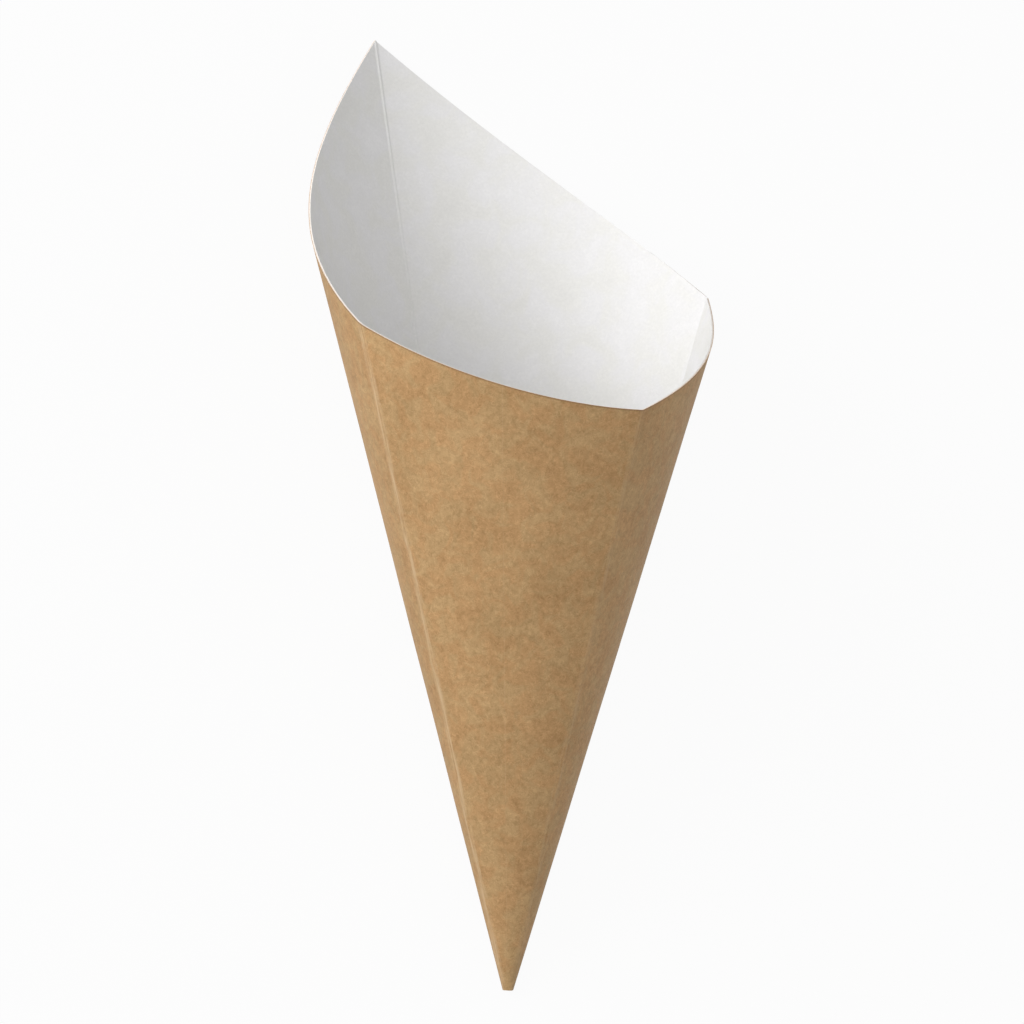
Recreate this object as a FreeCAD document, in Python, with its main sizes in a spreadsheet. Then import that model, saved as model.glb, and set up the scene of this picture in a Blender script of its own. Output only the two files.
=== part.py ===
"""Paper fry cone: one die-cut blank of white-lined kraft board, creased, folded and glued.

The cone is drawn upright on its tip, in its own frame: the four creases run up from one
virtual apex at the origin, +Z is the axis, the tall peak crease leans to -X and the low
crease to +X. It is laid down at the end, on the side that it comes to rest on.
Lengths are millimetres. A spread or a bulge is a share of the height or of a chord.
"""
import FreeCAD, Part
import math
import os

import Sketcher
from FreeCAD import Matrix, Placement, Rotation, Vector

SIZES = {
    # the blank
    "board": 0.5,               # caliper of the board
    "peak_crease": 255.0,       # creases, measured from the virtual apex to the rim
    "front_crease": 180.3,
    "low_crease": 161.0,
    "rear_crease": 188.9,
    "rim_sag_left": 1.9,        # how far each rim edge of the flat blank bows outward
    "rim_sag_front": -0.6,
    "rim_sag_right": 0.7,
    "rim_sag_back": 1.8,
    "rim_skew_left": 0.9,       # and how far that bow leans towards the edge's far end
    "rim_skew_front": -0.5,
    "rim_skew_right": -0.65,
    "rim_skew_back": 0.0,
    "tip_height": 4.8,          # the point is cut off level, this far above the virtual apex
    # the open cone
    "corner_spread": 0.3064,    # a crease's distance from the axis at unit height
    "bulge_left": 0.174,        # rise of each panel's arc over its chord
    "bulge_front": 0.155,
    "bulge_right": 0.111,
    "bulge_back": 0.155,
    "fold_radius": 1.0,         # outside radius of the three scored folds
    # the score lines: each pressed groove raises a bead on the inside of its fold
    "bead_width": 1.2,
    "bead_rise": 0.2,
    "bead_start": 16.0,         # height at which the score lines begin
    # the lap: the right panel carried on round the rear crease and glued to the back panel
    "lap_width": 12.0,          # near the mouth
    "lap_foot_width": 4.0,      # near the tip
    "lap_foot": 24.0,           # where the lap ends, measured up its crease
    "lap_bevel": 9.0,           # how much its free edge is shorter at the mouth
    "lap_clear": 0.5,           # and how far below the rim it ends at its fold
}

# Panels in order round the cone, seen from the mouth: name, first and second corner.
PANELS = ("front", "right", "back", "left")
# Corner k lies at the start of panel k: directions along the section's axes.
CORNERS = ((0, -1), (1, 0), (0, 1), (-1, 0))
CREASES = ("front_crease", "low_crease", "rear_crease", "peak_crease")
# Which way each panel faces, in degrees from +X.
BEARINGS = (-45, 45, 135, 225)

OVERLENGTH = 1.12       # the round cones run this much past the peak crease, to be cut off
UNDERLENGTH = 0.4       # and begin this share of the way up to the level cut
LAP_OVER = 3.0          # the lap's die reaches this far past the rear crease, outside its fold
KNIFE_REACH = 4.0       # the rim knife reaches this far to both sides of the board
KNIFE_LENGTH = 1.25     # and from the rim to this many peak creases from the apex
RULINGS = 13            # straight lines of each panel on which its rim is laid out

doc = FreeCAD.newDocument("fry_cone")
sheet = doc.addObject("Spreadsheet::Sheet", "Sizes")
for row, (alias, value) in enumerate(SIZES.items(), start=1):
    sheet.set("A%d" % row, alias)
    sheet.set("B%d" % row, str(value))
    sheet.setAlias("B%d" % row, alias)
doc.recompute()


def size(alias):
    """The sheet's present value of a size."""
    return float(sheet.get(alias))


# ---------------------------------------------------------------- panel geometry
# A bent sheet has straight lines in it. Here they all run from the virtual apex, so each
# panel is a sector of a round cone, and neighbours meet in straight creases. `lean` is the
# angle between the cone's axis and the middle of a panel, `tilt` the angle between the
# cone's axis and the round cone's own axis, and the round cone's half angle is lean - tilt.
def lean_rule(panel):
    return "atan(Sizes.corner_spread * sqrt(2) * (0.5 + Sizes.bulge_%s))" % PANELS[panel]


def tilt_rule(panel):
    slope = "sqrt(1 + Sizes.corner_spread ^ 2)"
    return "atan((1 / %s - cos(%s)) / (sin(%s) - Sizes.corner_spread / (sqrt(2) * %s)))" % (
        slope, lean_rule(panel), lean_rule(panel), slope)


def half_rule(panel):
    return "(%s - %s)" % (lean_rule(panel), tilt_rule(panel))


def sweep_rule(panel):
    """Expression of the turn about the round cone's axis from one crease to the next."""
    return "(2 * asin(Sizes.corner_spread / (sqrt(2) * sqrt(1 + Sizes.corner_spread ^ 2) " \
           "* sin(%s))))" % half_rule(panel)


def panel_cone(panel):
    """The same tilt, half angle and sweep as numbers, in radians."""
    spread = size("corner_spread")
    slope = math.sqrt(1 + spread ** 2)
    lean = math.atan(spread * math.sqrt(2) * (0.5 + size("bulge_" + PANELS[panel])))
    tilt = math.atan((1 / slope - math.cos(lean))
                     / (math.sin(lean) - spread / (math.sqrt(2) * slope)))
    half = lean - tilt
    sweep = 2 * math.asin(spread / (math.sqrt(2) * slope * math.sin(half)))
    return tilt, half, sweep


def ruling(panel, share):
    """Direction and outward normal of a straight line of a panel."""
    tilt, half, sweep = panel_cone(panel)
    turn = sweep * (share - 0.5)
    along = Vector(math.sin(half) * math.cos(turn), math.sin(half) * math.sin(turn),
                   math.cos(half))
    normal = Vector(math.cos(half) * math.cos(turn), math.cos(half) * math.sin(turn),
                    -math.sin(half))
    placed = Rotation(Vector(0, 0, 1), BEARINGS[panel]).multiply(
        Rotation(Vector(0, 1, 0), math.degrees(tilt)))
    return placed.multVec(along), placed.multVec(normal)


# ---------------------------------------------------------------- the round cones
HIGH_RULE = "Sizes.peak_crease * %g" % OVERLENGTH
LOW_RULE = "Sizes.tip_height * %g" % UNDERLENGTH
# Raising a cone along its axis moves its wall inwards: this much raises it by one caliper.
RAISE_RULE = "Sizes.board / sin(%s)" % lean_rule(0)


def standing_rule(panel):
    """Expression of the rotation that leans a round cone and turns it to its bearing."""
    return "rotation(vector(0; 0; 1); %d) * rotation(vector(0; 1; 0); %s)" % (
        BEARINGS[panel], tilt_rule(panel))


def round_cone(panel, label, lowered="0"):
    """The whole round cone of a panel, its seam turned to the far side."""
    item = doc.addObject("Part::Cone", label)
    item.setExpression("Radius1", "%s * tan(%s)" % (LOW_RULE, half_rule(panel)))
    item.setExpression("Radius2", "%s * tan(%s)" % (HIGH_RULE, half_rule(panel)))
    item.setExpression("Height", "%s - %s" % (HIGH_RULE, LOW_RULE))
    aside = "%s * sin(%s)" % (LOW_RULE, tilt_rule(panel))
    item.setExpression("Placement", "placement(vector(%s * cos(%d deg); %s * sin(%d deg); "
                       "%s * cos(%s) - %s); %s * rotation(vector(0; 0; 1); 180))"
                       % (aside, BEARINGS[panel], aside, BEARINGS[panel], LOW_RULE,
                          tilt_rule(panel), lowered, standing_rule(panel)))
    return item


def boolean(kind, label, *pieces):
    item = doc.addObject("Part::" + kind, label)
    if kind.startswith("Multi"):
        item.Shapes = list(pieces)
    else:
        item.Base, item.Tool = pieces
    return item


front_round, right_round, back_round, left_round = (
    round_cone(panel, label + "_round") for panel, label in enumerate(PANELS))

# ---------------------------------------------------------------- the lap
# The lap lies on the back panel, so its outer face is the back panel's round cone, lowered
# by one caliper. Its outline is die-cut: a trapezium drawn on the plane that touches the
# back panel at the rear crease. It reaches past the crease, where the right panel's cone
# cuts it off: that corner is the lap's fold.
lap_round = round_cone(2, "lap_round", RAISE_RULE)
lap_outline = doc.addObject("Sketcher::SketchObject", "lap_outline")
lap_outline.setExpression("Placement", "placement(vector(0; 0; 0); %s * "
                          "rotation(vector(0; 0; 1); -%s / 2) * rotation(vector(0; 1; 0); %s) * "
                          "rotation(vector(1; 1; 1); 120))"
                          % (standing_rule(2), sweep_rule(2), half_rule(2)))
bevel = (size("lap_bevel") - size("lap_clear")) / size("lap_width")
outline = {
    "inner_foot": (("%g" % -LAP_OVER, -LAP_OVER),
                   ("Sizes.lap_foot - %g" % LAP_OVER, size("lap_foot") - LAP_OVER)),
    "outer_foot": (("Sizes.lap_foot_width", size("lap_foot_width")),
                   ("Sizes.lap_foot + 2", size("lap_foot") + 2)),
    "outer_top": (("Sizes.lap_width", size("lap_width")),
                  ("Sizes.rear_crease - Sizes.lap_bevel",
                   size("rear_crease") - size("lap_bevel"))),
    "inner_top": (("%g" % -LAP_OVER, -LAP_OVER),
                  ("Sizes.rear_crease - Sizes.lap_clear + %g * (Sizes.lap_bevel - "
                   "Sizes.lap_clear) / Sizes.lap_width" % LAP_OVER,
                   size("rear_crease") - size("lap_clear") + LAP_OVER * bevel)),
}
points = [Vector(across[1], up[1], 0) for across, up in outline.values()]
lines = [lap_outline.addGeometry(Part.LineSegment(one, other), False)
         for one, other in zip(points, points[1:] + points[:1])]
for this, following in zip(lines, lines[1:] + lines[:1]):
    lap_outline.addConstraint(Sketcher.Constraint("Coincident", this, 2, following, 1))
for line, (name, (across, up)) in zip(lines, outline.items()):
    for kind, (rule, value) in (("DistanceX", across), ("DistanceY", up)):
        number = lap_outline.addConstraint(Sketcher.Constraint(kind, line, 1, value))
        label = name + ("_across" if kind == "DistanceX" else "_up")
        lap_outline.renameConstraint(number, label)
        if "Sizes" in rule:
            lap_outline.setExpression("Constraints." + label, rule)
lap_die = doc.addObject("Part::Extrusion", "lap_die")
lap_die.Base = lap_outline
lap_die.DirMode = "Normal"
lap_die.Solid = True
lap_die.setExpression("LengthFwd", "20 * Sizes.board")
lap_die.setExpression("LengthRev", "20 * Sizes.board")
doc.recompute()
lap = boolean("Common", "lap", lap_round, lap_die)

# ---------------------------------------------------------------- the outside
back_and_lap = boolean("Fuse", "back_and_lap", back_round, lap)
other_panels = boolean("MultiCommon", "other_panels", front_round, right_round, left_round)
outside = boolean("Common", "outside", back_and_lap, other_panels)
below_tip = doc.addObject("Part::Box", "below_tip")
for side in ("Length", "Width"):
    below_tip.setExpression(side, "Sizes.tip_height * 8")
below_tip.setExpression("Height", "Sizes.tip_height * 2")
below_tip.setExpression("Placement", "placement(vector(-Sizes.tip_height * 4; "
                        "-Sizes.tip_height * 4; -Sizes.tip_height); rotation(vector(0; 0; 1); 0))")
cut_tip = boolean("Cut", "cut_tip", outside, below_tip)
doc.recompute()


def crease_edges(shape, corners):
    """Names of the shape's straight edges that run from the tip up the given creases."""
    names = []
    for number, edge in enumerate(shape.Edges, start=1):
        foot, head = sorted((vertex.Point for vertex in edge.Vertexes), key=lambda p: p.z)
        for across, along in corners:
            crease = Vector(across, along, 0) * size("corner_spread") + Vector(0, 0, 1)
            if foot.z < 2 * size("tip_height") < head.z and crease.cross(foot).Length < 0.01 \
                    and crease.cross(head).Length < 0.01 * head.z:
                names.append("Edge%d" % number)
    return names


# The three folded creases are rounded. The lap's own fold is left sharp: it turns by only
# about 30 degrees, and rounding it would move its corner by less than 0.05 mm.
folded = doc.addObject("PartDesign::Body", "folded")
folded.BaseFeature = cut_tip
doc.recompute()
folds = folded.newObject("PartDesign::Fillet", "folds")
base = folded.Group[0]
folds.Base = (base, crease_edges(base.Shape, (CORNERS[0], CORNERS[1], CORNERS[3])))
folds.setExpression("Radius", "min(Sizes.fold_radius; 0.22 * Sizes.tip_height)")
doc.recompute()

# ---------------------------------------------------------------- the inside
# The inside is the outside's panels raised by one caliper, so the creases stay straight.
# Each score line leaves a round bead along the inside of its fold.
inside = boolean("MultiCommon", "inside", front_round, back_round, right_round, left_round)
inside.setExpression("Placement", "placement(vector(0; 0; %s); rotation(vector(0; 0; 1); 0))"
                     % RAISE_RULE)
beads = []
for corner, label in ((0, "front"), (1, "low"), (3, "peak")):
    across, along = CORNERS[corner]
    bead = doc.addObject("Part::Cylinder", label + "_bead")
    bead.setExpression("Radius", "Sizes.bead_width / 2")
    bead.setExpression("Height", "Sizes.peak_crease - Sizes.bead_start")
    slope = "sqrt(1 + Sizes.corner_spread ^ 2)"
    depth = "(Sizes.bead_width / 2 - Sizes.bead_rise)"
    out = "(Sizes.corner_spread * (Sizes.bead_start - %s) + %s / %s)" % (RAISE_RULE, depth, slope)
    up = "Sizes.bead_start - %s * Sizes.corner_spread / %s" % (depth, slope)
    bead.setExpression("Placement", "placement(vector(%d * %s; %d * %s; %s); "
                       "rotation(vector(%d; %d; 0); atan(Sizes.corner_spread)))"
                       % (across, out, along, out, up, -along, across))
    beads.append(bead)
hollow = boolean("Cut", "hollow", inside, boolean("MultiFuse", "beads", *beads))
board_all_round = boolean("Cut", "glued_blank", folded, hollow)
doc.recompute()

# ---------------------------------------------------------------- the rim
def rim_reach(panel, angle, full):
    """Length of the ruling at a developed angle, from the apex to the rim."""
    start = size(CREASES[panel])
    stop = size(CREASES[(panel + 1) % 4])
    first = Vector(start, 0, 0)
    last = Vector(math.cos(full), math.sin(full), 0) * stop
    edge = last - first
    outward = Vector(edge.y, -edge.x, 0).normalize()
    sag = size("rim_sag_" + PANELS[panel])
    skew = size("rim_skew_" + PANELS[panel])
    low, high = 0.0, 1.0
    for _ in range(50):
        middle = (low + high) / 2
        bow = 4 * middle * (1 - middle) * (sag + skew * (2 * middle - 1))
        point = first + edge * middle + outward * bow
        if math.atan2(point.y, point.x) < angle:
            low = middle
        else:
            high = middle
    return point.Length


def corner_normal(panel):
    """The mitre direction of a fold: square to its crease, long enough to reach both panels."""
    before = ruling((panel - 1) % 4, 1.0)[1]
    after = ruling(panel, 0.0)[1]
    mean = (before + after).normalize()
    return mean * (1 / mean.dot(after))


def knife(panel):
    """All that lies beyond a panel's rim, cut square to the board: a solid of ruled faces."""
    tilt, half, sweep = panel_cone(panel)
    flat = sweep * math.sin(half)           # the panel's angle in the flat blank
    shares = [step / (RULINGS - 1) for step in range(RULINGS)]
    rows = {"rim_inner": [], "rim_outer": [], "far_inner": [], "far_outer": []}
    for share in shares:
        along, normal = ruling(panel, share)
        point = along * rim_reach(panel, share * flat, flat)
        if share == 0:
            normal = corner_normal(panel)
        if share == 1:
            normal = corner_normal((panel + 1) % 4)
        rows["rim_inner"].append(point - normal * KNIFE_REACH)
        rows["rim_outer"].append(point + normal * KNIFE_REACH)
        far = along * size("peak_crease") * KNIFE_LENGTH
        rows["far_inner"].append(far - normal * KNIFE_REACH)
        rows["far_outer"].append(far + normal * KNIFE_REACH)
    curves = {}
    for name, points in rows.items():
        curve = Part.BSplineCurve()
        curve.interpolate(Points=points, Parameters=shares)
        curves[name] = curve.toShape()
    pairs = (("rim_inner", "rim_outer"), ("far_inner", "far_outer"),
             ("rim_inner", "far_inner"), ("rim_outer", "far_outer"))
    faces = [Part.makeRuledSurface(curves[one], curves[other]) for one, other in pairs]
    for end in (0, -1):
        ring = [rows[name][end] for name in ("rim_inner", "rim_outer", "far_outer", "far_inner")]
        faces.append(Part.Face(Part.makePolygon(ring + ring[:1])))
    shell = Part.Shell(faces)
    shell.sewShape()
    solid = Part.Solid(shell)
    if solid.Volume < 0:
        solid.reverse()
    return solid


rim_knife = doc.addObject("Part::Feature", "rim_knife")
knives = [knife(panel) for panel in range(4)]
rim_knife.Shape = knives[0].multiFuse(knives[1:])

cone = boolean("Cut", "folded_cone", board_all_round, rim_knife)
doc.recompute()

# ---------------------------------------------------------------- at rest
def resting_share(weight_centre):
    """The straight line of the back panel on which the cone lies with its weight lowest."""
    steps = 400
    heights = []
    for step in range(steps + 1):
        share = 0.4 + 0.6 * step / steps
        heights.append((-ruling(2, share)[1].dot(weight_centre), share))
    return min(heights)


height, share = resting_share(cone.Shape.Solids[0].CenterOfMass)
along, down = ruling(2, share)
side = along.cross(down)
turned = Placement(Matrix(side.x, side.y, side.z, 0,
                          -along.x, -along.y, -along.z, 0,
                          -down.x, -down.y, -down.z, 0,
                          0, 0, 0, 1))
cone.Placement = turned
box = cone.Shape.optimalBoundingBox(True, False)
shift = Vector(-(box.XMin + box.XMax) / 2, -(box.YMin + box.YMax) / 2, -box.ZMin)
cone.Placement = Placement(shift, turned.Rotation)
doc.recompute()
box = cone.Shape.optimalBoundingBox(True, False)
print("rests on the back panel at %.3f of its width, weight %.1f mm up" % (share, height))
print("box %.2f x %.2f x %.2f mm, %.1f cm3" % (
    box.XLength, box.YLength, box.ZLength, cone.Shape.Volume / 1000))

for item in doc.Objects:
    if "Invalid" in item.State or "Error" in item.State:
        raise RuntimeError("%s failed: %s" % (item.Name, item.State))
if cone.Shape.isNull() or not cone.Shape.isValid() or len(cone.Shape.Solids) != 1:
    raise RuntimeError("the folded cone is not one closed solid")
cone.Label = "folded_cone"
os.makedirs("parts", exist_ok=True)
cone.Shape.exportStep("parts/%s.step" % cone.Label)
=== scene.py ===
# %% [markdown]
# # A paper fry cone
# The real cone starts as a flat blank, die-cut from kraft board that is lined white on one
# side. It has four creases that all run to one point, it is bent and folded up, and a
# narrow lap holds it closed. This lesson goes the same way: a flat blank is laid out as a
# plain mesh, and a Geometry Nodes tree folds it. The paper comes from shader nodes.

# %% Load the fixed frame
import bmesh
import bpy
import math
from mathutils import Matrix, Vector


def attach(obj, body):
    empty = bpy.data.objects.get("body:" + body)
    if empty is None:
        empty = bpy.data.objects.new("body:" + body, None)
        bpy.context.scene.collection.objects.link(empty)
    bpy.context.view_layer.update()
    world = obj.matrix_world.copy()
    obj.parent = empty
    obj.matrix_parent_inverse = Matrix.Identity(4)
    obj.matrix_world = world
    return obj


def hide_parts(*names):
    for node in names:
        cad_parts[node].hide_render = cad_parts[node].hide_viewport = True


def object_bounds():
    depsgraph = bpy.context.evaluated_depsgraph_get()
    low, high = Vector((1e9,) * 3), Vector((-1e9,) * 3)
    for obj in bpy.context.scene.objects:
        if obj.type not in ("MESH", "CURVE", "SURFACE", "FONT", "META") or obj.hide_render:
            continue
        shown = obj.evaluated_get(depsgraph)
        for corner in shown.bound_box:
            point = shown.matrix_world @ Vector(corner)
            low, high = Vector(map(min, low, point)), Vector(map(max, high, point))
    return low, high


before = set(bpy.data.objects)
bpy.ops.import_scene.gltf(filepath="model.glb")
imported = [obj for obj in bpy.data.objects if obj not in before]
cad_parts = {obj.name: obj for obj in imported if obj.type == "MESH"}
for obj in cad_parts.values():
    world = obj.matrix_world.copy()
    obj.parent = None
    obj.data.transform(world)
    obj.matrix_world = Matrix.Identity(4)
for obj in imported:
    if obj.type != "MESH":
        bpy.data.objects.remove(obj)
cad_box = [list(corner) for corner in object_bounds()]
MM = 0.001
print("frame box, mm:", [[round(c / MM, 1) for c in corner] for corner in cad_box])

# %% [markdown]
# ## The sizes of the blank and of the open cone
# Every size is written once, in millimetres. A crease is as long as the distance from the
# virtual point, where all four creases would meet, to the rim. The panels are bent, so each
# one is a sector of a round cone of its own. `bulge` says how far a panel's arc rises over
# its chord, and from it and the spread of the creases follow the round cone's half angle,
# its sweep and its tilt.

# %% Sizes and the four round cones
BOARD = 0.5                 # caliper of the board
TIP_CUT = 5.0               # the point is cut off this far from the virtual point
SPREAD = 0.3064             # a crease's distance from the cone's axis at unit height
BEAD_WIDTH = 1.2            # the score line's bead on the inside of a fold
BEAD_RISE = 0.2
RESTING_SHARE = 0.7705      # the line of the back panel that touches the floor
PANELS = [                  # in the order in which they lie in the blank
    dict(name="back", bulge=0.155, bearing=135, first=188.9, last=255.0, sag=1.8, skew=0.0),
    dict(name="left", bulge=0.174, bearing=225, first=255.0, last=180.3, sag=1.9, skew=0.9),
    dict(name="front", bulge=0.155, bearing=-45, first=180.3, last=161.0, sag=-0.6, skew=-0.5),
    dict(name="right", bulge=0.111, bearing=45, first=161.0, last=188.9, sag=0.7, skew=-0.65),
]

start = 0.0
for panel in PANELS:
    slope = math.hypot(1, SPREAD)
    lean = math.atan(SPREAD * math.sqrt(2) * (0.5 + panel["bulge"]))
    tilt = math.atan((1 / slope - math.cos(lean))
                     / (math.sin(lean) - SPREAD / (math.sqrt(2) * slope)))
    half = lean - tilt
    sweep = 2 * math.asin(SPREAD / (math.sqrt(2) * slope * math.sin(half)))
    panel.update(tilt=tilt, half=half, sweep=sweep, start=start,
                 flat=sweep * math.sin(half))
    start += panel["flat"]
BLANK_ANGLE = start
print("blank opens %.1f degrees:" % math.degrees(BLANK_ANGLE),
      {p["name"]: round(math.degrees(p["flat"]), 1) for p in PANELS})


def cone_point(panel, angle):
    """Direction and outward normal on a panel's round cone at an angle of the flat blank."""
    turn = angle / math.sin(panel["half"]) - panel["sweep"] / 2
    s, c = math.sin(panel["half"]), math.cos(panel["half"])
    stand = Matrix.Rotation(math.radians(panel["bearing"]), 3, "Z") @ Matrix.Rotation(
        panel["tilt"], 3, "Y")
    return (stand @ Vector((s * math.cos(turn), s * math.sin(turn), c)),
            stand @ Vector((c * math.cos(turn), c * math.sin(turn), -s)))


# %% [markdown]
# ## The flat blank
# A folded sheet is easiest to get right when it is still flat. Each column of the mesh is a
# straight line from the cut point to the rim, and the rim is the die's own curve, so the
# folded rim needs no trimming. Columns crowd at the creases, where the board turns. The
# mesh already has the board's thickness. The blank lies kraft side down, as on a gluing
# table: that face is at z = 0 and the white lining is one caliper above it. The nodes carry
# both up together, so cut edges stay square.

# %% Lay out the blank's columns and rows
ROWS = 96
PANEL_COLUMNS = 26          # between the ones that crowd at a panel's two creases
FOLD_STEPS = (0.0, 0.12, 0.26, 0.42, 0.62, 0.9, 1.3)    # millimetres beside a crease
NARROWING = 22              # folds are drawn in when nearer than this to the virtual point
RIM_HALVINGS = 40           # halvings of a rim edge, to find where a straight line meets it
NO_CREASE = 99.0            # a way that is too far from a crease to matter
LAP_WIDTH = 12.0            # near the mouth
LAP_FOOT_WIDTH = 4.0
LAP_FOOT = 24.0             # where the lap begins, measured up its crease
LAP_BEVEL = 9.0             # how much its free edge is shorter at the mouth
CUT_BACK = 0.5              # how far below the rim the lap ends at its fold
CUT_BACK_WAY = 0.3          # and how far past the crease it has come down to that
LAP_SHARES = (0.0, 0.04, 0.12, 0.25, 0.4, 0.55, 0.7, 0.85, 0.96, 1.0)   # of the lap's width


def rim_distance(panel, angle):
    """How far from the virtual point the die cuts, at an angle inside a panel."""
    first = Vector((panel["first"], 0))
    last = Vector((math.cos(panel["flat"]), math.sin(panel["flat"]))) * panel["last"]
    edge = last - first
    outward = Vector((edge.y, -edge.x)).normalized()
    low, high = 0.0, 1.0
    for _ in range(RIM_HALVINGS):
        t = (low + high) / 2
        bow = 4 * t * (1 - t) * (panel["sag"] + panel["skew"] * (2 * t - 1))
        point = first + edge * t + outward * bow
        if math.atan2(point.y, point.x) < angle:
            low = t
        else:
            high = t
    return point.length


def fold_offset(step, distance):
    """Millimetres from the crease, drawn in where the cone gets narrow."""
    return step * min(1.0, distance / NARROWING)


RAW_EDGE = {"kraft": 0.95, "lining": 0.15}     # the back panel's raw edge, pressed into the corner
LAP_TURN = 0.97         # the right panel runs on this far before the lap folds over
LAP_LAND = 0.83         # and lands this far from the crease on the back panel
LAP_TURN_STEPS = (0.3, 0.65, LAP_TURN)


def panel_rules(number, side):
    """The columns of a panel: each keeps a distance from a crease, or a share of the width."""
    near = [("near", step) for step in FOLD_STEPS]
    share = [("share", (k + 1) / (PANEL_COLUMNS + 1)) for k in range(PANEL_COLUMNS)]
    far = [("far", step) for step in reversed(FOLD_STEPS)]
    if number == 0:
        near = [("near", RAW_EDGE[side]), ("near", FOLD_STEPS[-1])]
    if number == len(PANELS) - 1:                    # the lap's turn runs on past the crease
        return near + share + far + [("far", -step) for step in LAP_TURN_STEPS]
    return near + share + far[:-1]                   # the next panel starts on the crease


def column_angle(panel, rule, distance):
    """A column's angle inside its panel, at a distance from the virtual point."""
    kind, value = rule
    if kind == "near":
        return fold_offset(value, distance) / distance
    if kind == "far":
        return panel["flat"] - fold_offset(value, distance) / distance
    margin = fold_offset(FOLD_STEPS[-1], distance) / distance
    return margin + (panel["flat"] - 2 * margin) * value


def lap_top(across):
    """How far out the lap's slanted end lies, beside the last crease."""
    straight = CUT_BACK + (LAP_BEVEL - CUT_BACK) * across / LAP_WIDTH
    return PANELS[-1]["last"] - straight * min(1.0, across / CUT_BACK_WAY)


def panel_columns(side):
    """Columns of (flat angle, distance, way from the nearest crease, way from the rim)."""
    columns = []
    for number, panel in enumerate(PANELS):
        for rule in panel_rules(number, side):
            rim = panel["last"]
            for _ in range(4):          # the angle depends on the rim, and the rim on the angle
                rim = rim_distance(panel, column_angle(panel, rule, rim))
            if rule[0] == "far" and rule[1] < 0:
                rim = lap_top(-rule[1])
            column = []
            for row in range(ROWS):
                distance = TIP_CUT + (rim - TIP_CUT) * row / (ROWS - 1)
                angle = column_angle(panel, rule, distance)
                from_first, to_last = angle * distance, (panel["flat"] - angle) * distance
                if number == 0:                      # the raw edge is no fold
                    from_first = NO_CREASE
                if number == len(PANELS) - 1:        # and the lap's fold is left unworn and without painted highlight
                    to_last = NO_CREASE
                way = from_first if from_first < to_last else -to_last
                column.append((panel["start"] + angle, distance, way, rim - distance))
            columns.append(column)
    return columns


def lap_columns():
    """The lap beyond its turn: a strip with a slanted free edge and a bevelled end."""
    columns = []
    rear = PANELS[-1]["last"]
    for share in LAP_SHARES:
        top = lap_top(LAP_TURN + (LAP_WIDTH - LAP_TURN) * share)
        column = []
        for row in range(ROWS):
            along = LAP_FOOT + (top - LAP_FOOT) * row / (ROWS - 1)
            width = LAP_FOOT_WIDTH + (LAP_WIDTH - LAP_FOOT_WIDTH) * (along - LAP_FOOT) / (
                rear - LAP_FOOT)
            across = LAP_TURN + (width - LAP_TURN) * share
            column.append((BLANK_ANGLE + math.atan2(across, along),
                           math.hypot(across, along), across - LAP_TURN, top - along))
        columns.append(column)
    return columns


kraft_columns, lining_columns = panel_columns("kraft"), panel_columns("lining")
glue_columns = lap_columns()
print("blank: %d panel columns, %d lap columns, %d rows" % (
    len(kraft_columns), len(glue_columns), ROWS))

# %% [markdown]
# A sheet with thickness is two grids, one caliper apart, and a strip of cut edge round
# them. Each face remembers what it is (kraft face, lining or cut edge), and each point
# remembers how far it lies from a crease and from the rim, because the folding nodes and
# the paper both need that later. The blank's own coordinates become the UV map.

# %% Make the flat blank as one mesh
KINDS = ("Kraft", "Lining", "Cut Edge")
KRAFT, LINING, CUT = range(len(KINDS))


def add_sheet(points, faces, kinds, edges_of, outer, inner, layer):
    """Two grids and their edges, from columns that run from the tip to the rim.

    `layer` is 0 for the panels and 1 for the lap, and `edges_of` numbers the four cut edges.
    """
    across, along = len(outer), len(outer[0])
    base = len(points)
    for height, columns in ((0.0, outer), (BOARD, inner)):
        for column in columns:
            for angle, distance, way, to_rim in column:
                points.append(((math.cos(angle) * distance, math.sin(angle) * distance, height),
                               way, to_rim, layer, height / BOARD))

    def index(side, i, j):
        return base + side * across * along + i * along + j

    for i in range(across - 1):
        for j in range(along - 1):
            cell = [index(0, i, j), index(0, i, j + 1), index(0, i + 1, j + 1), index(0, i + 1, j)]
            faces.append(cell[::-1])
            kinds.append(KRAFT)
            faces.append([point + across * along for point in cell])
            kinds.append(LINING)
            edges_of.extend((0, 0))
    ring = ([(i, 0, 1) for i in range(across - 1)] + [(across - 1, j, 2) for j in range(along - 1)]
            + [(i, along - 1, 3) for i in range(across - 1, 0, -1)]
            + [(0, j, 4) for j in range(along - 1, 0, -1)])
    for (i, j, side), (k, m, _) in zip(ring, ring[1:] + ring[:1]):
        faces.append([index(0, i, j), index(1, i, j), index(1, k, m), index(0, k, m)])
        kinds.append(CUT)
        edges_of.append(side)


points, faces, kinds, edges_of = [], [], [], []
add_sheet(points, faces, kinds, edges_of, kraft_columns, lining_columns, 0.0)
add_sheet(points, faces, kinds, edges_of, glue_columns, glue_columns, 1.0)
flat_mesh = bpy.data.meshes.new("flat_blank")
flat_mesh.from_pydata([[c * MM for c in point[0]] for point in points], [], faces)
for name, slot in (("crease_way", 1), ("rim_way", 2), ("layer", 3), ("depth", 4)):
    store = flat_mesh.attributes.new(name, "FLOAT", "POINT")
    store.data.foreach_set("value", [float(point[slot]) for point in points])
store = flat_mesh.attributes.new("kind", "INT", "FACE")
store.data.foreach_set("value", kinds)
blank_map = flat_mesh.uv_layers.new(name="blank")
for loop in flat_mesh.loops:            # the height is added so that cut edges have a width too
    x, y, z = points[loop.vertex_index][0]
    blank_map.data[loop.index].uv = (x * MM, y * MM + z * MM)
beside = {}         # an edge is sharp where two kinds of face meet, or two sides of the cut
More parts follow.
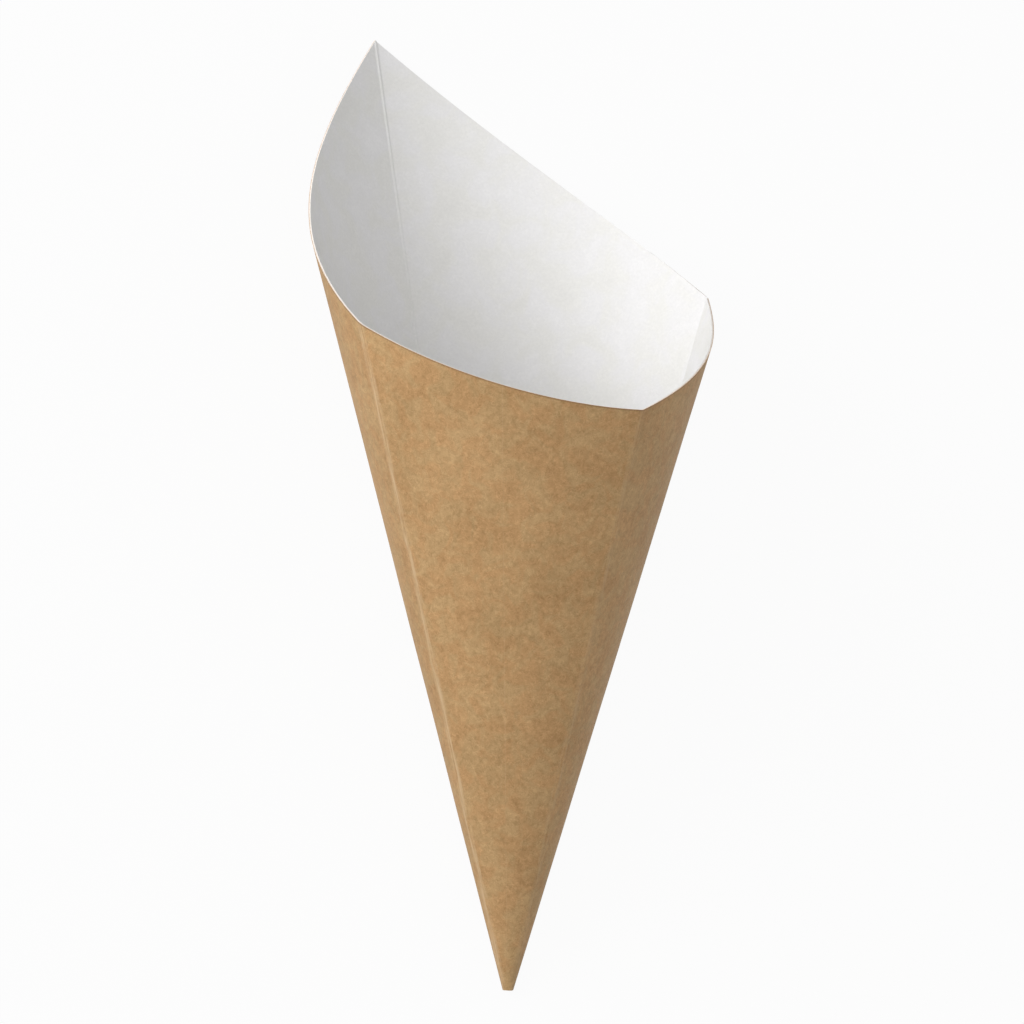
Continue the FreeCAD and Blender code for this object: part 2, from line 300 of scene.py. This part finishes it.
for polygon in flat_mesh.polygons:
    for key in polygon.edge_keys:
        beside.setdefault(key, set()).add((kinds[polygon.index], edges_of[polygon.index]))
corners = flat_mesh.attributes.new("sharp_edge", "BOOLEAN", "EDGE")
corners.data.foreach_set("value", [len(beside[edge.key]) > 1 for edge in flat_mesh.edges])
check = bmesh.new()
check.from_mesh(flat_mesh)
print("flat blank: %d points, %d faces, closed: %s, %.2f cubic cm" % (
    len(points), len(faces), all(edge.is_manifold for edge in check.edges),
    check.calc_volume(signed=True) * 1e6))
check.free()

# %% [markdown]
# ## Writing nodes as sums
# A node tree is only arithmetic, so a small class lets Python's own signs add the Math
# nodes: `1 - mask` becomes a Subtract node. Every other node comes from one method, which
# takes its type, its settings and what goes into its sockets. The same two classes serve
# the folding nodes here and the paper's shader nodes later.

# %% Two helpers for node trees
class Wire:
    """A socket that can be used in Python arithmetic."""

    def __init__(self, net, socket):
        self.net, self.socket = net, socket

    def math(self, operation, *others):
        values = dict(enumerate((self,) + others))
        return self.net.node("ShaderNodeMath", {"operation": operation}, values)

    def __add__(self, other):
        return self.math("ADD", other)

    def __radd__(self, other):
        return self.math("ADD", other)

    def __sub__(self, other):
        return self.math("SUBTRACT", other)

    def __rsub__(self, other):
        return self.net.node("ShaderNodeMath", {"operation": "SUBTRACT"}, {0: other, 1: self})

    def __mul__(self, other):
        return self.math("MULTIPLY", other)

    def __rmul__(self, other):
        return self.math("MULTIPLY", other)

    def __truediv__(self, other):
        return self.math("DIVIDE", other)

    def __rtruediv__(self, other):
        return self.net.node("ShaderNodeMath", {"operation": "DIVIDE"}, {0: other, 1: self})

    def __gt__(self, other):
        return self.math("GREATER_THAN", other)


class Net:
    """A node tree with one method that makes any node."""

    def __init__(self, tree):
        self.tree = tree

    def node(self, kind, settings=None, values=None, out=0):
        made = self.tree.nodes.new(kind)
        for name, value in (settings or {}).items():
            setattr(made, name, value)
        for name, value in (values or {}).items():
            socket = made.inputs[name]
            if isinstance(value, Wire):
                self.tree.links.new(value.socket, socket)
            else:
                socket.default_value = value
        self.last = made
        return Wire(self, made.outputs[out]) if len(made.outputs) else None


def tree_with(name, inputs, outputs):
    """A Geometry Nodes tree, its named inputs as wires, and its output node."""
    tree = bpy.data.node_groups.new(name, "GeometryNodeTree")
    for label, kind, value in inputs:
        socket = tree.interface.new_socket(label, in_out="INPUT", socket_type=kind)
        if value is not None:
            socket.default_value = value
    for label, kind in outputs:
        tree.interface.new_socket(label, in_out="OUTPUT", socket_type=kind)
    entry = tree.nodes.new("NodeGroupInput")
    leave = tree.nodes.new("NodeGroupOutput")
    net = Net(tree)
    wires = {label: Wire(net, entry.outputs[label]) for label, _, _ in inputs}
    return net, wires, leave


# %% [markdown]
# ## One bent panel as a node group
# A bent sheet keeps its lengths. So a point of a panel keeps its distance from the virtual
# point, and only its angle is spent: on a round cone a turn about the axis uses up
# `turn * sin(half angle)` of the blank's angle. The group gives the direction in which such
# a point lies, and which way the board faces there.

# %% The round cone group
FLOAT, VECTOR = "NodeSocketFloat", "NodeSocketVector"
net, given, leave = tree_with("round_cone", [
    ("Blank Angle", FLOAT, 0.0), ("Spread", FLOAT, SPREAD), ("Bulge", FLOAT, 0.15),
    ("Bearing", FLOAT, 0.0)], [("Along", VECTOR), ("Outward", VECTOR)])
spread, bulge = given["Spread"], given["Bulge"]
reach = (1 + spread * spread).math("SQRT")
lean_wire = (spread * math.sqrt(2) * (bulge + 0.5)).math("ARCTANGENT")
tilt_wire = ((1 / reach - lean_wire.math("COSINE"))
             / (lean_wire.math("SINE") - spread / (reach * math.sqrt(2)))).math("ARCTANGENT")
half_wire = lean_wire - tilt_wire
sine, cosine = half_wire.math("SINE"), half_wire.math("COSINE")
sweep_wire = 2 * (spread / (reach * math.sqrt(2) * sine)).math("ARCSINE")
turn_wire = given["Blank Angle"] / sine - sweep_wire / 2
across, up = turn_wire.math("COSINE"), turn_wire.math("SINE")


def standing(x, y, z):
    """A direction of the panel's own cone, tilted and turned to its bearing."""
    own = net.node("ShaderNodeCombineXYZ", {}, {0: x, 1: y, 2: z})
    tilted = net.node("ShaderNodeVectorRotate", {"rotation_type": "Y_AXIS"},
                      {"Vector": own, "Angle": tilt_wire})
    return net.node("ShaderNodeVectorRotate", {"rotation_type": "Z_AXIS"},
                    {"Vector": tilted, "Angle": given["Bearing"]})


net.tree.links.new(standing(sine * across, sine * up, cosine).socket, leave.inputs["Along"])
net.tree.links.new(standing(cosine * across, cosine * up, 0 - sine).socket,
                   leave.inputs["Outward"])
round_cone = net.tree
print("round cone group:", len(round_cone.nodes), "nodes")

# %% [markdown]
# ## Folding the blank
# The tree reads each flat point, asks which panel it is in, and places it on that panel's
# cone. Beside a crease the facing turns gently from one panel's to the next one's, over
# about a millimetre, as creased board does. The lap's face belongs to the back panel's
# cone too, but one caliper further out.

# %% The folding tree: panels and lap
sizes = [("Blank", "NodeSocketGeometry", None), ("Spread", FLOAT, SPREAD),
         ("Board", FLOAT, BOARD * MM), ("Bead Width", FLOAT, BEAD_WIDTH * MM),
         ("Bead Rise", FLOAT, BEAD_RISE * MM), ("Fold Width", FLOAT, 1.1 * MM),
         ("Worn Width", FLOAT, 1.8 * MM), ("Worn Depth", FLOAT, 0.08 * MM),
         ("Waviness", FLOAT, 0.1 * MM)]
sizes += [(p["name"].title() + " Bulge", FLOAT, p["bulge"]) for p in PANELS]
sizes += [(name, "NodeSocketMaterial", None) for name in KINDS]
net, given, leave = tree_with("fold_up", sizes, [("Cone", "NodeSocketGeometry")])


def stored(name, kind="FLOAT"):
    return net.node("GeometryNodeInputNamedAttribute", {"data_type": kind}, {"Name": name})


def cone_of(panel, blank_angle):
    """The round cone group for one panel: the way to the point, and the board's facing."""
    way_out = net.node("GeometryNodeGroup", {"node_tree": round_cone}, {
        "Blank Angle": blank_angle, "Spread": given["Spread"],
        "Bulge": given[panel["name"].title() + " Bulge"],
        "Bearing": math.radians(panel["bearing"])})
    return way_out, Wire(net, net.last.outputs["Outward"])


def mixed(factor, first, second):
    return net.node("ShaderNodeMix", {"data_type": "VECTOR"}, {0: factor, 4: first, 5: second},
                    out=1)


def turned_at(way):
    """From 0 to 1 over the width of a fold."""
    half_fold = given["Fold Width"] / 2
    return net.node("ShaderNodeMapRange", {"interpolation_type": "SMOOTHSTEP"},
                    {"Value": way, "From Min": 0 - half_fold, "From Max": half_fold})


place = net.node("GeometryNodeInputPosition")
flat_x = net.node("ShaderNodeSeparateXYZ", {}, {0: place})
flat_y, flat_z = (Wire(net, net.last.outputs[n]) for n in (1, 2))
distance = (flat_x * flat_x + flat_y * flat_y).math("SQRT")
angle = flat_y.math("ARCTAN2", flat_x)
layer, way = stored("layer"), stored("crease_way") * MM
along, facing = cone_of(PANELS[0], angle)
for panel in PANELS[1:]:
    next_along, next_facing = cone_of(panel, angle - panel["start"])
    beyond = (angle - panel["start"]) * distance
    along = mixed(beyond > 0.0, along, next_along)
    facing = mixed(turned_at(beyond), facing, next_facing)
past = (angle - BLANK_ANGLE) * distance - LAP_TURN * MM
lap_along, lap_facing = cone_of(PANELS[0], (past + LAP_LAND * MM) / distance)
along = mixed(layer, along, lap_along)
facing = mixed(turned_at(past), facing, lap_facing)
facing = net.node("ShaderNodeVectorMath", {"operation": "NORMALIZE"}, {0: facing})
print("panels and lap:", len(net.tree.nodes), "nodes so far")

# %% [markdown]
# The bead is a smooth hump on the lining side only, where the score line was pressed. On the
# kraft side the fold is worn round: a corner that turns by a small angle becomes an arc when
# a parabola is taken off it, deepest at the crease and nothing at both ends. A slow, shallow
# wave goes over the whole board, because no paper is quite even. Both faces share it, so the
# caliper stays true.

# %% The folding tree: beads, waves and materials
CALM_POINT = 60             # the wave fades out when nearer than this to the virtual point


def share_of(width):
    """From 0 on a crease to 1 at half the given width beside it, and 1 from there on."""
    return (way.math("ABSOLUTE") / (given[width] / 2)).math("MINIMUM", 1.0)


share, worn_share = share_of("Bead Width"), share_of("Worn Width")
hump = (1 - share * share) * (1 - share * share)
inside = flat_z / given["Board"]
narrow = (1 - layer) * (distance / (NARROWING * MM)).math("MINIMUM", 1.0)
height = (0 - flat_z) - narrow * hump * inside * given["Bead Rise"] \
    - narrow * (1 - worn_share) * (1 - worn_share) * (1 - inside) * given["Worn Depth"]
wave = net.node("ShaderNodeTexNoise", {"noise_dimensions": "2D"},
                {"Vector": place, "Scale": 24.0, "Detail": 1.5, "Roughness": 0.4})
waving = (distance / (CALM_POINT * MM)).math("MINIMUM", 1.0)
height = height + (wave - 0.5) * given["Waviness"] * 2 * waving


def scaled(vector, by):
    return net.node("ShaderNodeVectorMath", {"operation": "SCALE"}, {0: vector, "Scale": by})


def added(first, second):
    return net.node("ShaderNodeVectorMath", {"operation": "ADD"}, {0: first, 1: second})


stood = added(added(scaled(along, distance), scaled(lap_facing, layer * given["Board"])),
              scaled(facing, height))
folded = net.node("GeometryNodeSetPosition", {}, {"Geometry": given["Blank"], "Position": stood})
folded = net.node("GeometryNodeRealizeInstances", {}, {"Geometry": folded})
kind = stored("kind", "INT")
for number, name in enumerate(KINDS):
    picked = net.node("FunctionNodeCompare", {"data_type": "INT", "operation": "EQUAL"},
                      {2: kind, 3: number})
    folded = net.node("GeometryNodeSetMaterial", {},
                      {"Geometry": folded, "Selection": picked, "Material": given[name]})
net.tree.links.new(folded.socket, leave.inputs["Cone"])
fold_up = net.tree
print("folding tree:", len(fold_up.nodes), "nodes; inputs:", ", ".join(s[0] for s in sizes))

# %% [markdown]
# ## Colours
# Colours are written as they look on a screen, from 0 to 255, and turned into the linear
# numbers that the shader wants. `paper` makes an empty material, and `finish_paper` ends
# each of the board's materials in the same uncoated surface. It reflects a little less at a
# low angle than plastic or varnish would.

# %% The paper's colours
def shade(red, green, blue):
    """A screen colour as linear light."""
    channels = [c / 255 for c in (red, green, blue)]
    return [c / 12.92 if c <= 0.04045 else ((c + 0.055) / 1.055) ** 2.4 for c in channels] + [1.0]


KRAFT_BODY = shade(179, 143, 98)
KRAFT_AMBER = shade(183, 142, 96)
KRAFT_STRAW = shade(176, 144, 100)
# the crease streaks' pale colour: partly wear, partly painted highlight
KRAFT_WORN_AND_HIGHLIT = shade(201, 171, 133)
# painted shade: the thin dark line along the rim
KRAFT_RIM_SHADE = shade(132, 101, 72)
LINING_BODY = shade(230, 229, 226)
LINING_COOL = shade(228, 227, 227)
EDGE_WHITE = shade(238, 231, 223)
EDGE_KRAFT = shade(208, 180, 152)
UNCOATED = 0.28             # the specular level; 0.5 is a plain plastic
PAPER_RELIEF = 0.02 * MM    # how high the fibres stand up


def paper(name):
    """An empty material and its net."""
    made = bpy.data.materials.new(name)
    made.use_nodes = True
    made.node_tree.nodes.clear()
    return made, Net(made.node_tree)


def finish_paper(net, colour, roughness, height, depth):
    """The Principled surface that every paper here ends in; depth is the relief in metres."""
    relief = net.node("ShaderNodeBump", {}, {"Height": height, "Distance": depth})
    surface = net.node("ShaderNodeBsdfPrincipled", {}, {
        "Base Color": colour, "Roughness": roughness, "Normal": relief})
    net.last.inputs["Specular IOR Level"].default_value = UNCOATED
    net.node("ShaderNodeOutputMaterial", {}, {"Surface": surface})


def blank_place(net):
    """Where a point lies in the flat blank, so that the fibres bend with the board."""
    return net.node("ShaderNodeUVMap", {"uv_map": "blank"})


def kept(net, name):
    """What the blank remembers: a way in millimetres, or the depth from 0 to 1."""
    return net.node("ShaderNodeAttribute", {"attribute_name": name}, out=2)


def blended(net, factor, first, second):
    """Two colours, mixed by a factor."""
    return net.node("ShaderNodeMix", {"data_type": "RGBA"}, {0: factor, 6: first, 7: second},
                    out=2)


def eased(net, value, low, high):
    """From 0 to 1, without corners, as the value goes from low to high."""
    return net.node("ShaderNodeMapRange", {"interpolation_type": "SMOOTHSTEP"},
                    {"Value": value, "From Min": low, "From Max": high})


print("kraft, worn, lining:", [[round(c, 3) for c in colour[:3]]
                              for colour in (KRAFT_BODY, KRAFT_WORN_AND_HIGHLIT, LINING_BODY)])

# %% [markdown]
# ## Fibres
# Kraft paper is a felt of long wood fibres. They show as short curly marks, a little lighter
# or darker than the rest. Where a smooth noise passes through its middle value it draws thin
# curly lines; a second noise breaks the lines up into single fibres. The same helper makes
# light ones, dark ones and, much fainter, those of the bleached lining.

# %% A helper for fibres
def cloud(net, place, per_metre, detail=1.0, twist=0.0, start=0.0):
    """Noise with features of about 1 / per_metre metres, centred on 0.5."""
    moved = net.node("ShaderNodeVectorMath", {"operation": "ADD"},
                     {0: place, 1: (start, start, 0)})
    return net.node("ShaderNodeTexNoise", {"noise_dimensions": "2D"}, {
        "Vector": moved, "Scale": per_metre, "Detail": detail, "Roughness": 0.5,
        "Distortion": twist})


def fibres(net, place, per_metre, width, start):
    """Thin curly marks from 0 to 1, with gaps between them."""
    ridge = (cloud(net, place, per_metre, twist=1.4, start=start) - 0.5).math("ABSOLUTE")
    line = 1 - eased(net, ridge, 0.0, width)
    gaps = cloud(net, place, per_metre * 0.9, detail=0.0, start=start + 3.1)
    return line * eased(net, gaps, 0.4, 0.55)


# %% [markdown]
# ## The kraft side
# On the outside the board is bare kraft. It is never one colour: amber and straw-coloured
# patches a few millimetres across lie under the fibres. A pale fibre has less colour as well
# as more light, so the marks are partly multiplied and partly added. Along the folds the
# surface is stretched and rubbed, and a little paler in streaks that run along the fold: the
# paler colour is partly wear and partly a painted highlight of the fold's edge. A thin line
# of painted shade runs along the rim.

# %% Kraft material
kraft, net = paper("kraft_face")
place = blank_place(net)
long_light = fibres(net, place, 520.0, width=0.1, start=0.3)
short_light = fibres(net, place, 860.0, width=0.14, start=2.9)
long_dark = fibres(net, place, 480.0, width=0.1, start=1.7)
short_dark = fibres(net, place, 800.0, width=0.14, start=4.1)
light_fibres, dark_fibres = long_light + short_light, long_dark + short_dark
grain = cloud(net, place, 2200.0, detail=2.0, start=5.0) - 0.5
mottle = cloud(net, place, 430.0, detail=2.0, twist=0.8, start=9.0) - 0.5
patches = cloud(net, place, 190.0, detail=3.0, twist=0.6, start=8.0)
# wide blotches of darker and lighter kraft, part of the board's own colour
wide_blotches = cloud(net, place, 60.0, detail=1.0, twist=0.3, start=11.0) - 0.5
colour = blended(net, eased(net, patches, 0.36, 0.64), KRAFT_AMBER, KRAFT_STRAW)
colour = blended(net, 0.35, colour, KRAFT_BODY)
print("kraft patches and fibres:", len(kraft.node_tree.nodes), "nodes so far")

# %% [markdown]
# The streaks are noise that is drawn out: across a crease it is read at its true size, and
# along the crease seventeen times more slowly. Beyond the middle of the front panel the
# streaks, wear and painted highlight alike, are weaker. The marks are added up at the end.

# %% Kraft material: creases, rim and surface
DRAWN_OUT = 0.06            # how slowly the streaks change along a crease
STREAK_LOSS_PAST_FRONT = 0.65          # how much weaker the crease streaks are past the front panel's middle
way = kept(net, "crease_way")
out_along = net.node("ShaderNodeVectorMath", {"operation": "LENGTH"}, {0: place}, out="Value")
drawn = net.node("ShaderNodeCombineXYZ", {}, {0: way * MM, 1: out_along * DRAWN_OUT})
streaks = eased(net, cloud(net, drawn, 1500.0, detail=2.0, start=3.0), 0.25, 0.75)
# pale streaks along the creases: partly wear, partly a painted highlight of the fold's edge
crease_wear_and_highlight = (1 - eased(net, way.math("ABSOLUTE") + mottle * 1.2, 0.1, 1.7)) * streaks
flat_x = net.node("ShaderNodeSeparateXYZ", {}, {0: place})
blank_angle = Wire(net, net.last.outputs[1]).math("ARCTAN2", flat_x)
front = PANELS[2]
# the crease streaks are weaker past the front panel's middle
streak_strength = 1 - STREAK_LOSS_PAST_FRONT * (blank_angle > front["start"] + front["flat"] / 2)
# a thin line of painted shade along the rim
rim_shade = 1 - eased(net, kept(net, "rim_way") + grain * 0.3, 0.1, 0.6)
marks = (light_fibres - dark_fibres) * 0.11 + grain * 0.2 + mottle * 0.26 \
    + wide_blotches * 0.24 + (patches - 0.5) * 0.26
shaded = net.node("ShaderNodeVectorMath", {"operation": "MULTIPLY_ADD"}, {
    0: colour, 1: 1 + marks * 0.8, 2: marks * 0.05})
shaded = blended(net, crease_wear_and_highlight * streak_strength, shaded, KRAFT_WORN_AND_HIGHLIT)
shaded = blended(net, rim_shade * 0.65, shaded, KRAFT_RIM_SHADE)
relief = light_fibres * 0.5 + dark_fibres * 0.35 + grain * 0.6
finish_paper(net, shaded, 0.62 + grain * 0.15 - crease_wear_and_highlight * 0.06, relief, PAPER_RELIEF)
print(kraft.name, len(kraft.node_tree.nodes), "nodes")

# %% [markdown]
# ## The white lining
# The inside is lined with bleached paper. It is far more even: a faint tooth, some fibres
# that hardly show, and slow changes between a warm and a cool white.

# %% Lining material
lining, net = paper("white_lining")
place = blank_place(net)
tooth = cloud(net, place, 1300.0, detail=3.0, start=2.0) - 0.5
threads = fibres(net, place, 460.0, width=0.12, start=4.4)
slow = cloud(net, place, 110.0, detail=3.0, twist=0.4, start=6.0)
colour = blended(net, eased(net, slow, 0.35, 0.65), LINING_BODY, LINING_COOL)
lightness = 1 + tooth * 0.09 + threads * 0.025 + (slow - 0.5) * 0.13
shaded = net.node("ShaderNodeVectorMath", {"operation": "SCALE"},
                  {0: colour, "Scale": lightness})
finish_paper(net, shaded, 0.5 + tooth * 0.12, tooth + threads * 0.4, PAPER_RELIEF)
print(lining.name, len(lining.node_tree.nodes), "nodes")

# %% [markdown]
# ## The cut edge
# The knife shows what the board is made of: a thin kraft ply, and bleached white ones above
# it. The blank's `depth` runs from 0 on the kraft side to 1 on the lining side, so it can
# colour the plies, and a fine noise frays the line between them.

# %% Cut edge material
cut_edge, net = paper("cut_edge")
place = blank_place(net)
torn = cloud(net, place, 1400.0, detail=2.0, start=7.0) - 0.5
plies = eased(net, kept(net, "depth") + torn * 0.35, 0.15, 0.5)
colour = blended(net, plies, EDGE_KRAFT, EDGE_WHITE)
shaded = net.node("ShaderNodeVectorMath", {"operation": "SCALE"},
                  {0: colour, "Scale": 1 + torn * 0.16})
finish_paper(net, shaded, 0.8 + torn * 0.1, torn, 2 * PAPER_RELIEF)
print(cut_edge.name, len(cut_edge.node_tree.nodes), "nodes")

# %% [markdown]
# ## Fold it up
# The modifier's inputs are set by the identifier of each socket, before the object is looked
# at for the first time. The result becomes a plain mesh and the modifier goes.

# %% Run the folding tree
flat_blank = bpy.data.objects.new("flat_blank", flat_mesh)
bpy.context.collection.objects.link(flat_blank)
modifier = flat_blank.modifiers.new("fold", "NODES")
modifier.node_group = fold_up
papers = dict(zip(KINDS, (kraft, lining, cut_edge)))
for item in fold_up.interface.items_tree:
    if item.in_out == "INPUT" and item.name in papers:
        modifier[item.identifier] = papers[item.name]
flat_blank.update_tag()
bpy.context.view_layer.update()
folded_blank = flat_blank.evaluated_get(bpy.context.evaluated_depsgraph_get())
cone_mesh = bpy.data.meshes.new_from_object(folded_blank)
cone_mesh.name = "fry_cone_board"
flat_blank.modifiers.remove(modifier)
bpy.data.objects.remove(flat_blank)
for polygon in cone_mesh.polygons:
    polygon.use_smooth = True
check = bmesh.new()
check.from_mesh(cone_mesh)
print("folded board: %d faces, %.2f cubic cm, materials %s" % (
    len(cone_mesh.polygons), check.calc_volume(signed=True) * 1e6,
    [m.name if m else None for m in cone_mesh.materials]))
check.free()

# %% [markdown]
# ## Lay it down
# An open cone can't stand on its point, so it lies on its back panel. One straight line of
# that panel touches the floor: the mouth points to -Y and the board's outside faces down
# along that line. Then the cone moves until it fills the frame's box.

# %% Turn it to its resting place
back = PANELS[0]
line, down = cone_point(back, back["flat"] * RESTING_SHARE)
turn = Matrix((line.cross(down), -line, -down))
cone_mesh.transform(turn.to_4x4())
low = [min(v.co[i] for v in cone_mesh.vertices) for i in range(3)]
high = [max(v.co[i] for v in cone_mesh.vertices) for i in range(3)]
shift = Vector(((cad_box[0][0] + cad_box[1][0] - low[0] - high[0]) / 2,
                (cad_box[0][1] + cad_box[1][1] - low[1] - high[1]) / 2,
                cad_box[0][2] - low[2]))
cone_mesh.transform(Matrix.Translation(shift))
cone = bpy.data.objects.new("fry_cone", cone_mesh)
bpy.context.collection.objects.link(cone)
print("virtual point, mm:", [round(c / MM, 2) for c in shift])
print("turn:", [[round(c, 5) for c in row] for row in turn])
print("size, mm:", [round((h - l) / MM, 2) for l, h in zip(low, high)])

# %% [markdown]
# ## The floor
# The floor is a wide pale sheet with a soft shadow. What the camera sees of it is mostly
# plain white, but as a thing that throws light back at the cone it is a middling grey.

# %% Floor
FLOOR_WHITE = 0.95      # how much of the floor's look is plain white, so its shadows stay faint
FLOOR_GREY = 0.55       # and what it throws back at the cone
FLOOR_SIDE = 12         # in m, wide enough to fill the view
bpy.ops.mesh.primitive_plane_add(size=FLOOR_SIDE)
floor = bpy.context.object
floor.name = "floor"
floor_paper, net = paper("pale_floor")
net.node("ShaderNodeLightPath")
rays = net.last.outputs
seen = Wire(net, rays["Is Camera Ray"]).math("MAXIMUM", Wire(net, rays["Is Glossy Ray"]))
seen = seen.math("MAXIMUM", Wire(net, rays["Is Transmission Ray"]))
matt = net.node("ShaderNodeBsdfDiffuse", {}, {"Color": [FLOOR_GREY] * 3 + [1.0]})
white = net.node("ShaderNodeEmission", {}, {"Color": (1.0, 1.0, 1.0, 1.0), "Strength": 1.0})
surface = net.node("ShaderNodeMixShader", {}, {0: seen * FLOOR_WHITE, 1: matt, 2: white})
net.node("ShaderNodeOutputMaterial", {}, {"Surface": surface})
floor.data.materials.append(floor_paper)

# %% [markdown]
# ## The camera
# The camera looks at the cone as if it stood on its point, almost level with it. So it is
# set in the cone's own frame, and then laid down together with the cone. A long lens far
# away keeps the creases from spreading.

# %% The camera, set in the cone's own frame
AZIMUTH = math.radians(-53.98)
ABOVE = math.radians(3.05)
ROLL = math.radians(2.13)
REACH = 1595 * MM
AIM_RIGHT, AIM_UP = 1.15 * MM, 125.54 * MM      # the middle of the view, from the virtual point
LENS = 221.9


def laid(vector):
    """A direction of the standing cone, after it was laid down."""
    return (turn @ vector).normalized()


forward = Vector((math.sin(AZIMUTH) * math.cos(ABOVE), math.cos(AZIMUTH) * math.cos(ABOVE),
                  -math.sin(ABOVE)))
side = Vector((math.cos(AZIMUTH), -math.sin(AZIMUTH), 0))
upward = side.cross(forward)
right_hand = math.cos(ROLL) * side + math.sin(ROLL) * upward
upright = -math.sin(ROLL) * side + math.cos(ROLL) * upward
aim = AIM_RIGHT * right_hand + AIM_UP * upright
eye = turn @ (aim - forward * REACH) + shift
camera_data = bpy.data.cameras.new("camera")
camera_data.lens = LENS
camera_data.sensor_width = 36.0
camera = bpy.data.objects.new("camera", camera_data)
bpy.context.collection.objects.link(camera)
axes = Matrix((laid(right_hand), laid(upright), -laid(forward))).transposed()
camera.matrix_world = Matrix.Translation(eye) @ axes.to_4x4()
bpy.context.scene.camera = camera
print("camera at, m:", [round(c, 3) for c in eye],
      "looks along", [round(c, 3) for c in laid(forward)])

# %% [markdown]
# ## The lamps
# The lamps are placed by the camera's own axes. A large soft one stands on the left and above
# the mouth, a weaker one near the camera looks into the cone, and a faint one fills the right
# side. The world adds a weak, even light from everywhere.

# %% Lamps
HALF_WAY = 125 * MM         # the cone's middle, up its axis from the virtual point
WORLD_LIGHT = 0.4


def lamp(name, from_side, height_up, toward_eye, size, power):
    """A square lamp, placed by the camera's own axes and aimed at the cone's middle."""
    middle = turn @ Vector((0, 0, HALF_WAY)) + shift
    at = middle + (laid(right_hand) * from_side + laid(upright) * height_up
                   - laid(forward) * toward_eye)
    data = bpy.data.lights.new(name, "AREA")
    data.shape = "SQUARE"
    data.size = size
    data.energy = power
    made = bpy.data.objects.new(name, data)
    bpy.context.collection.objects.link(made)
    aimed = (middle - at).to_track_quat("-Z", "Y").to_matrix().to_4x4()
    made.matrix_world = Matrix.Translation(at) @ aimed


lamp("key_lamp", from_side=-0.9, height_up=0.5, toward_eye=0.7, size=0.9, power=12.9)
lamp("front_lamp", from_side=0.0, height_up=0.3, toward_eye=1.5, size=0.8, power=4.0)
lamp("fill_lamp", from_side=1.1, height_up=-0.1, toward_eye=0.5, size=1.0, power=2.1)
world = bpy.data.worlds.new("studio")
bpy.context.scene.world = world
world.use_nodes = True
background = world.node_tree.nodes["Background"]
background.inputs["Color"].default_value = (1, 1, 1, 1)
background.inputs["Strength"].default_value = WORLD_LIGHT
bpy.context.scene.view_settings.view_transform = "Standard"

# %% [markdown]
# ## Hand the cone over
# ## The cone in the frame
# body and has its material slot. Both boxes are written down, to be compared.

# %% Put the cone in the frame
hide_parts("folded_cone")
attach(cone, "root")
